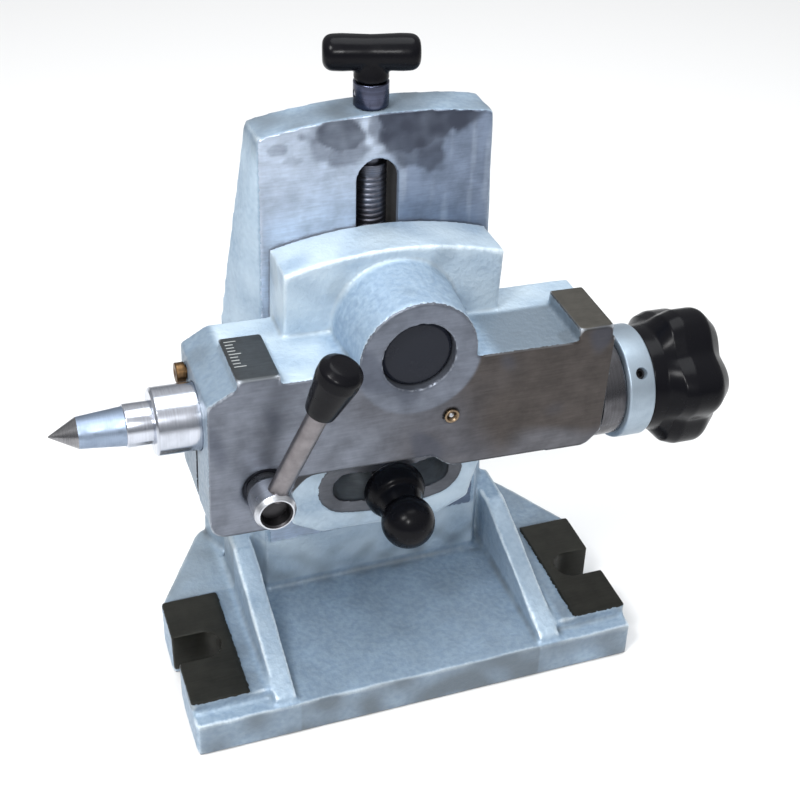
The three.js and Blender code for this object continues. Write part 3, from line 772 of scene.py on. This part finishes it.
def elevating():
    """The screw in the guide slot, its sleeve and its T-handle."""
    low, high = corners("elevating_screw", ROW)
    centre = (low + high) / 2
    radius = high.x - centre.x
    line = along("z", centre)
    shoulder = max(point.z for point in cad_points("elevating_screw", ROW)
                   if math.hypot(point.x, point.y - centre.y) > radius - 1)
    core_radius = radius - CORE_DEPTH
    core = rounded([(low.z, 0, 0), (low.z, radius - 1.2, 0), (low.z + 2, core_radius, 0),
                    (shoulder - COLLAR, core_radius, 0), (shoulder - COLLAR, radius, 0.3),
                    (shoulder, radius, 0.5), (shoulder, NECK_RADIUS, 0),
                    (high.z, NECK_RADIUS, 0), (high.z, 0, 0)])
    coil = thread(radius, THREAD_DEPTH, low.z + 1, shoulder - COLLAR, THREAD_TURN)
    data = joined((turned(core, segments=48), Matrix()), (coil, Matrix()))
    piece("elevating_screw_thread", data, ROW @ line, "elevating_screw", SCREW_STEEL)

    low, high = corners("screw_sleeve", ROW)
    sleeve = turned(rounded([(low.z, SLEEVE_BORE, 0), (low.z, high.x, 0.5),
                             (high.z, high.x, 0.8), (high.z, SLEEVE_BORE, 0)], closed=True), True)
    sleeve.transform(line)
    hole = turned([(-20, 0), (-20, PIN_HOLE), (20, PIN_HOLE), (20, 0)], segments=32)
    hole.transform(along("x", middle("sleeve_pin", ROW)))
    piece("screw_sleeve_turned", carved(sleeve, hole), ROW, "screw_sleeve", SLEEVE_STEEL)

    points = np.array(cad_points("elevating_t_handle", ROW))
    low, high = points.min(axis=0), points.max(axis=0)
    spread = points[:, :2] - (centre.x, centre.y)
    way = np.linalg.svd(spread, full_matrices=False)[2][0]
    half = abs(spread @ way).max()
    thick = abs(spread @ (-way[1], way[0])).max()
    bar_z = high[2] - thick
    bar = rounded([(-half, 0, 0), (-half, thick - 0.3, 4.2), (-half * 0.6, thick, 9),
                   (0, thick - 0.5, 16), (half * 0.6, thick, 9), (half, thick - 0.3, 4.2),
                   (half, 0, 0)], steps=8)
    neck = rounded([(low[2], 0, 0), (low[2], 7.8, 0.9), (low[2] + 4.5, 7.2, 2), (bar_z, 6.8, 0),
                    (bar_z, 0, 0)])
    across = aim((centre.x, centre.y, bar_z), (*way, 0))
    skin = Skin(voxels(joined((turned(bar), across), (turned(neck), line)), 0.5))
    skin.relax(10)
    piece("elevating_t_handle_moulded", skin.data, ROW, "elevating_t_handle", BLACK, 60)


# ---- Tilt clamp and pivot ----
CLAMP_BOLT_HOLE = 6.3       # radii of the holes in the washers and nuts
PIVOT_STUD_HOLE = 8.4
LEVER_STUD_HOLE = 5.3


def hexagonal(half_flats, hole, start, end):
    """A hexagon nut's profile at an angle, with rounded-off corners on both faces."""
    def profile(angle):
        turn = (angle + math.pi / 6) % (math.pi / 3) - math.pi / 6
        radius = half_flats / math.cos(turn)
        drop = 0.25 + 0.577 * (radius - half_flats)
        return [(start, hole), (start, half_flats - 0.5), (start + drop, radius),
                (end - drop, radius), (end, half_flats - 0.5), (end, hole + 0.8),
                (end - 0.8, hole)]
    return profile


def ring_profile(outer, hole, start, end, corner=0.4):
    return rounded([(start, hole, 0), (start, outer, corner), (end, outer, corner),
                    (end, hole, 0)], closed=True)


def y_ring(name, node, place, hole, material):
    """A washer or collar that lies along Y."""
    low, high = corners(node, place)
    centre = (low + high) / 2
    profile = ring_profile((high.x - low.x) / 2, hole, low.y, high.y)
    piece(name, turned(profile, True), place @ along("y", centre), node, material)


def y_nut(name, node, place, hole, material):
    """A hexagon nut that lies along Y."""
    low, high = corners(node, place)
    centre = (low + high) / 2
    half_flats = min(high.x - low.x, high.z - low.z) / 2
    profile = hexagonal(half_flats, hole, low.y, high.y)
    piece(name, turned(profile, True), place @ along("y", centre), node, material, 25)


def blocks():
    """Square-edged CAD pieces that keep their shape, with their edges broken."""
    for node in ("pivot_rear_washer", "tilt_clamp_bolt", "pivot_stud"):
        data = nodes[node].data.copy()
        data.transform(ROW.inverted())
        piece(node + "_chamfered", bevelled(data, 0.5), ROW, node, OXIDE_Y)


def tilt_clamp():
    y_ring("tilt_clamp_washer_turned", "tilt_clamp_washer", ROW, CLAMP_BOLT_HOLE, TURNED_Y)
    low, high = corners("tilt_clamp_hub", ROW)
    ball_low, ball_high = corners("tilt_clamp_ball", ROW)
    ball_centre = (ball_low + ball_high) / 2
    radius = (ball_high.x - ball_low.x) / 2
    ball_centre.y = ball_low.y + radius
    bolt_z = high.z - (high.x - low.x) / 2
    outer = (high.x - low.x) / 2
    disc = rounded([(-4.5, 0, 0), (-4.5, outer - 2.5, 3), (high.y - 5, outer, 2.2),
                    (high.y, outer, 0.7), (high.y, 0, 0)])
    root = Vector((0, high.y - 3, bolt_z))
    out = (ball_centre - root).normalized()
    reach = (ball_centre - root).length - 5
    neck = rounded([(0, 0, 0), (0, 12, 0), (8, 11, 4), (reach, 8, 0), (reach, 0, 0)])
    shell = voxels(joined((turned(disc), along("y", (0, 0, bolt_z))),
                          (turned(neck), aim(root, out))), 0.5)
    skin = Skin(shell)
    skin.relax(10)
    piece("tilt_clamp_hub_moulded", skin.data, ROW, "tilt_clamp_hub", BLACK, 60)

    cap = math.radians(28)
    arc = [(-radius * math.cos(a), radius * math.sin(a))
           for a in np.linspace(cap, math.pi, 30)]
    flat = arc[0]
    profile = [(flat[0] + 1, 0), (flat[0] + 1, flat[1] - 1.2), (flat[0] - 0.2, flat[1] - 0.5), *arc]
    piece("tilt_clamp_ball_moulded", turned([(x, max(r, 0)) for x, r in profile], segments=64),
          ROW @ aim(ball_centre, out), "tilt_clamp_ball", BLACK, 40)


def pivot():
    y_ring("pivot_front_washer_turned", "pivot_front_washer", ROW, PIVOT_STUD_HOLE, TURNED_Y)
    y_nut("pivot_lock_nut_hex", "pivot_lock_nut", ROW, PIVOT_STUD_HOLE, OXIDE_Y)
    y_nut("pivot_rear_nut_hex", "pivot_rear_nut", ROW, PIVOT_STUD_HOLE, OXIDE_Y)
    low, high = corners("pivot_cap", HEAD)
    radius = high.x
    recess = 0.7
    profile = rounded([
        (low.y + recess + 0.35, 0, 0), (low.y + recess, radius * 0.55, 30),
        (low.y + recess, radius - 1.6, 1.0), (low.y + recess + 1.2, radius, 0.5),
        (high.y, radius, 0.3), (high.y, 0, 0)])
    piece("pivot_cap_pressed", turned(profile, segments=96), HEAD @ along("y", (0, 0, 0)),
          "pivot_cap", CAP_BLACK, 40)


# ---- Head fittings ----
def oilers():
    low, high = corners("ball_oiler", HEAD)
    centre = (low + high) / 2
    radius = (high.x - low.x) / 2 - 0.8
    profile = rounded([
        (high.y, 0, 0), (high.y, 3, 0), (low.y + 0.8, 3, 0), (low.y + 0.8, radius, 0.2),
        (low.y, radius, 0.35), (low.y, 2.5, 0.3), (low.y + 1.3, 1.7, 0), (low.y + 2.6, 1.6, 0),
        (low.y + 2.6, 0, 0)])
    piece("ball_oiler_turned", turned(profile, segments=40), HEAD @ along("y", centre),
          "ball_oiler", BRASS_Y)
    low, high = corners("oiler_ball", HEAD)
    centre = (low + high) / 2
    radius = (high.y - low.y) / 2
    arc = [(-radius * math.cos(a), radius * math.sin(a)) for a in np.linspace(0, math.pi, 16)]
    piece("oiler_ball_round", turned([(x, max(r, 0)) for x, r in arc], segments=24),
          HEAD @ aim(centre, (0, 1, 0)), "oiler_ball", POLISHED_Y)
    low, high = corners("end_oiler", HEAD)
    centre = (low + high) / 2
    radius = (high.y - low.y) / 2
    profile = rounded([
        (low.x + 1.1, 0, 0), (low.x + 0.3, 1.6, 0.3), (low.x, 2.4, 0.3), (low.x, radius, 0.6),
        (low.x + 4.1, radius, 0.2), (low.x + 4.1, 3, 0), (high.x, 3, 0), (high.x, 0, 0)])
    piece("end_oiler_turned", turned(profile, segments=40), HEAD @ along("x", centre),
          "end_oiler", BRASS_X)


TICK_COUNT = 9
TICK_STEP = 2.4
TICK_START = (-77, 6)       # left end of the rearmost tick, on the pad
LONG_TICK = 5.2
SHORT_TICK = 3.4
TICK_WIDTH = 0.6
TICK_DEPTH = 0.16


def index_ticks():
    """Short scribed marks along the index pad, every fourth one long."""
    pad_top = max(point.z for point in cad_points("head_casting", HEAD) if point.x < -60)
    parts = []
    for k in range(TICK_COUNT):
        length = SHORT_TICK if k % 4 else LONG_TICK
        mesh = bmesh.new()
        bmesh.ops.create_cube(mesh, size=1)
        bmesh.ops.scale(mesh, vec=(length, TICK_WIDTH, TICK_DEPTH), verts=mesh.verts)
        bmesh.ops.bevel(mesh, geom=mesh.edges[:], offset=0.05, segments=1, affect="EDGES")
        place = (TICK_START[0] + length / 2, TICK_START[1] - TICK_STEP * k, pad_top + 0.03)
        parts.append((finished(mesh), Matrix.Translation(place)))
    piece("index_pad_ticks", joined(*parts), HEAD, "oiler_ball", MARKS, replaces=False)


# ---- Quill, feed and knob ----
BAND = 11.5             # length of the centre's bright band, in front of the quill
CONE = 19.5             # length of its satin cone
TAPER_END = -52         # where the taper's bore meets the plain one behind it
TAPER_END_RADIUS = 7.6
REAR_BORE_RADIUS = 5.5
GROOVE_START = -45      # the groove under the quill clears the feed screw
GROOVE_RADIUS = 7.3


def quill():
    low, high = corners("quill", HEAD)
    radius = (high.y - low.y) / 2
    centre = (low + high) / 2
    centre.z = high.z - radius
    line = along("x", centre)
    profile = rounded([
        (low.x, 9.7, 0), (low.x, radius - 1, 0), (low.x + 1, radius, 0.3), (high.x, radius, 0.5),
        (high.x, REAR_BORE_RADIUS, 0), (TAPER_END, REAR_BORE_RADIUS, 0),
        (TAPER_END, TAPER_END_RADIUS, 0), (low.x + 0.6, 9.2, 0)], closed=True)
    tool = turned([(GROOVE_START, 0), (GROOVE_START, GROOVE_RADIUS),
                   (high.x + 2, GROOVE_RADIUS), (high.x + 2, 0)])
    tool.transform(along("x", middle("feed_screw", HEAD)))
    body = turned(profile, True, 96)
    body.transform(line)
    piece("quill_ground", carved(body, tool), HEAD, "quill", POLISHED_X)

    quill_face = low.x
    low, high = corners("dead_centre", HEAD)
    band = quill_face - BAND
    tip_start = band - CONE
    profile = rounded([
        (low.x, 0, 0), (low.x, 0.3, 0), (tip_start, 6.8, 0.15), (band - 0.3, 8.5, 0),
        (band, 8.6, 0), (band, 9.4, 0.5), (quill_face - 0.3, 9.4, 0.2), (high.x, 7.2, 0.4),
        (high.x, 0, 0)])
    data = turned(profile, segments=96)
    piece("dead_centre_ground", data, HEAD @ line, "dead_centre", POLISHED_X, 28)
    data.materials.append(CONE_STEEL)
    data.materials.append(POINT_STEEL)
    back = (HEAD @ line).inverted()
    for face in data.polygons:
        x = (back @ face.center).x
        if x < tip_start + 0.1:
            face.material_index = 2
        elif x < band - 0.05:
            face.material_index = 1


FEED_BORE_RADIUS = 6.3      # in the bush and the end ring
BUSH_NECK_RADIUS = 11.7     # inside the head
SET_SCREW_HOLE = 2.6
LOBES = 5
KNOB_VALLEY = 28.2          # radius between the lobes
KNOB_HUB = 24.4             # radius of the knob's face towards the ring


def feed():
    line = along("x", middle("feed_screw", HEAD))
    low, high = corners("feed_bush", HEAD)
    flange = corners("head_casting", HEAD)[1].x + 0.3
    radius = (high.y - low.y) / 2
    profile = rounded([
        (low.x, FEED_BORE_RADIUS, 0), (low.x, BUSH_NECK_RADIUS, 0.5),
        (flange, BUSH_NECK_RADIUS, 0), (flange, radius, 0.8), (high.x, radius, 0.8),
        (high.x, FEED_BORE_RADIUS, 0)], closed=True)
    piece("feed_bush_turned", turned(profile, True, 96), HEAD @ line, "feed_bush", BUSH_STEEL)

    low, high = corners("end_ring", HEAD)
    radius = (high.y - low.y) / 2
    ring = turned(ring_profile(radius, FEED_BORE_RADIUS, low.x, high.x, 1.1), True, 96)
    screw = middle("ring_set_screw", HEAD)
    axis_point = line @ Vector(((low.x + high.x) / 2, 0, 0))
    rise = math.atan2(screw.z - axis_point.z, -screw.y)
    outward = Vector((0, -math.cos(rise), math.sin(rise)))
    ring.transform(line)
    hole = turned([(5, 0), (5, SET_SCREW_HOLE), (radius - 0.6, SET_SCREW_HOLE),
                   (radius + 2, 4.2), (radius + 2, 0)], segments=40)
    hole.transform(aim(axis_point, outward))
    piece("end_ring_turned", carved(ring, hole), HEAD, "end_ring", SATIN)
    cup = turned(rounded([(7, 0, 0), (7, 2.4, 0), (radius - 2.2, 2.4, 0.4),
                          (radius - 2.2, 1.5, 0), (radius - 5.6, 1.4, 0),
                          (radius - 5.6, 0, 0)]), segments=30)
    piece("ring_set_screw_cup", cup, HEAD @ aim(axis_point, outward), "ring_set_screw", OXIDE_Y)

    low, high = corners("star_knob", HEAD)
    points = [line.inverted() @ HEAD.inverted() @ vertex.co
              for vertex in nodes["star_knob"].data.vertices]
    peak = max(points, key=lambda point: point.yz.length)
    first = math.atan2(peak.z, peak.y)

    def lobed(angle):
        wave = 0.5 + 0.5 * math.cos(LOBES * (angle - first))
        swell = KNOB_VALLEY + (peak.yz.length - KNOB_VALLEY) * wave ** 0.8
        return rounded([
            (low.x, 10, 0), (low.x, KNOB_HUB, 1.4), (low.x + 7, 25.2, 3),
            (low.x + 12.5, swell - 2, 3), (low.x + 18, swell, 6), (high.x - 9, swell, 7),
            (high.x, swell - 9.5, 6), (high.x, 14, 2), (high.x - 2.0, 12.5, 1),
            (high.x - 2.2, 0, 0)], steps=6)
    knob = turned(lobed, segments=192)
    piece("star_knob_moulded", knob, HEAD @ line, "star_knob", BLACK, 60)


# ---- Quill clamp ----
LEVER_Y = -34               # where the rod's axis crosses the hub's
ROD_RADIUS = 4.5


def quill_clamp():
    y_ring("quill_clamp_washer_turned", "quill_clamp_washer", HEAD, LEVER_STUD_HOLE, TURNED_Y)
    y_nut("quill_clamp_nut_hex", "quill_clamp_nut", HEAD, LEVER_STUD_HOLE, OXIDE_Y)
    low, high = corners("quill_clamp_hub", HEAD)
    centre = (low + high) / 2
    radius = (high.x - low.x) / 2
    profile = rounded([
        (low.y + 5, 0, 0), (low.y + 5, 5.6, 0), (low.y + 1.0, 6.4, 0.2), (low.y, 7.2, 0.2),
        (low.y, radius - 1.4, 0.4), (low.y + 2.0, radius, 0.8), (high.y - 6, radius, 3),
        (high.y - 3, radius - 1.2, 2), (high.y, radius - 1.2, 0.3), (high.y, 0, 0)])
    line = along("y", centre)
    hub = piece("quill_clamp_hub_turned", turned(profile), HEAD @ line, "quill_clamp_hub",
                POLISHED_Y)
    hub.data.materials.append(OXIDE_Y)
    # Painted shade: the socket's faces take the dark oxide.
    for face in hub.data.polygons:
        point = (HEAD @ line).inverted() @ face.center
        face.material_index = int(point.yz.length < 7.15 and point.x < low.y + 5.5)

    rod = cad_points("quill_clamp_rod", HEAD)
    rod_middle = sum(rod, Vector()) / len(rod)
    root = Vector((centre.x, LEVER_Y, centre.z))
    out = (rod_middle - root).normalized()
    reach = [(point - root).dot(out) for point in rod]
    bar = rounded([(min(reach) - 1, 0, 0), (min(reach) - 1, ROD_RADIUS, 0.4),
                   (max(reach), ROD_RADIUS, 0.4), (max(reach), 0, 0)])
    piece("quill_clamp_rod_turned", turned(bar, segments=48), HEAD @ aim(root, out),
          "quill_clamp_rod", ROD_STEEL)

    reach = [(point - root).dot(out) for point in cad_points("quill_clamp_grip", HEAD)]
    start, end = min(reach), max(reach)
    profile = rounded([
        (start + 1.5, 4.6, 0), (start, 5.6, 0.5), (start, 6.6, 0.6), (start + 3, 7.1, 2),
        (end - 7, 9.4, 6), (end - 2, 9.2, 3), (end + 0.6, 6, 3), (end + 1.4, 0, 0)])
    piece("quill_clamp_grip_moulded", turned([(start + 6, 0), (start + 6, 4.6), *profile]),
          HEAD @ aim(root, out), "quill_clamp_grip", BLACK, 50)


INNER_BEVEL = 0.3


def hidden_pieces():
    """CAD nodes that keep their own mesh, inside the others."""
    kept = {
        "sleeve_pin": TURNED_X, "feed_screw": TURNED_X, "knob_insert": TURNED_X,
        "quill_clamp_stud": TURNED_Y,
    }
    for node, material in kept.items():
        nodes[node].data.materials.clear()
        nodes[node].data.materials.append(material)
        modifier = nodes[node].modifiers.new("broken_edges", "BEVEL")
        modifier.width = INNER_BEVEL / 1000
        modifier.segments = 2


base_surface()
head_surface()
elevating()
blocks()
tilt_clamp()
pivot()
oilers()
index_ticks()
quill()
feed()
quill_clamp()
hidden_pieces()

# ---- Floor, light and camera ----
CAMERA_PLACE = (-0.17765, -0.49214, 0.52129)
YAW = 0.347         # turned to the right of the column's front
PITCH = 0.618       # down
ROLL = 0.028
LENS = 64.53        # millimetres
SENSOR = 36
MIDDLE = (0, 0, 0.13)       # what the lamps point at
ZENITH = (1.0, 1.0, 1.0, 1)
HORIZON = (0.34, 0.35, 0.37, 1)
SKY_STRENGTH = 0.75

scene = bpy.context.scene
scene.view_settings.view_transform = "Standard"


def floor():
    look = Look("pale_floor", base_color=(0.86, 0.86, 0.86), roughness=0.9)
    mesh = bmesh.new()
    bmesh.ops.create_grid(mesh, size=4)
    data = finished(mesh)
    data.materials.append(look.material)
    obj = bpy.data.objects.new("floor", data)
    scene.collection.objects.link(obj)


def lamp(name, place, target, size, power, color=(1, 1, 1)):
    """A round area lamp: places and size in metres, power in watts."""
    data = bpy.data.lights.new(name, "AREA")
    data.shape = "DISK"
    data.size = size
    data.energy = power
    data.color = color
    obj = bpy.data.objects.new(name, data)
    obj.location = place
    obj.rotation_euler = (Vector(target) - Vector(place)).to_track_quat("-Z", "Y").to_euler()
    scene.collection.objects.link(obj)


def sky():
    """White above and dimmer towards the horizon, as in a room lit from its ceiling."""
    world = bpy.data.worlds.new("sky")
    scene.world = world
    world.use_nodes = True
    tree = world.node_tree
    background = tree.nodes["Background"]
    background.inputs["Strength"].default_value = SKY_STRENGTH
    place = tree.nodes.new("ShaderNodeTexCoord")
    split = tree.nodes.new("ShaderNodeSeparateXYZ")
    ramp = tree.nodes.new("ShaderNodeValToRGB")
    stops = ramp.color_ramp.elements
    for stop, position, color in zip(stops, (0.0, 0.7), (HORIZON, ZENITH)):
        stop.position = position
        stop.color = color
    tree.links.new(place.outputs["Generated"], split.inputs[0])
    tree.links.new(split.outputs["Z"], ramp.inputs["Fac"])
    tree.links.new(ramp.outputs["Color"], background.inputs["Color"])


def camera():
    """The view that the object is shown in: from the front left, looking down."""
    look_along = Vector((math.sin(YAW) * math.cos(PITCH), math.cos(YAW) * math.cos(PITCH),
                         -math.sin(PITCH)))
    right = Vector((math.cos(YAW), -math.sin(YAW), 0))
    up = right.cross(look_along)
    turned_right = right * math.cos(ROLL) + up * math.sin(ROLL)
    turned_up = up * math.cos(ROLL) - right * math.sin(ROLL)
    data = bpy.data.cameras.new("camera")
    data.lens = LENS
    data.sensor_width = SENSOR
    obj = bpy.data.objects.new("camera", data)
    columns = Matrix((turned_right, turned_up, -look_along)).transposed()
    obj.matrix_world = Matrix.Translation(CAMERA_PLACE) @ columns.to_4x4()
    scene.collection.objects.link(obj)
    scene.camera = obj


floor()
sky()
lamp("key", (-0.60, -0.45, 1.1), MIDDLE, 0.35, 8.5)
lamp("overhead", (0.15, 0.1, 1.3), (0, 0, 0.1), 0.9, 9, (0.95, 0.98, 1.0))
lamp("flash", (-0.20, -0.62, 0.62), MIDDLE, 0.10, 2.2)
camera()
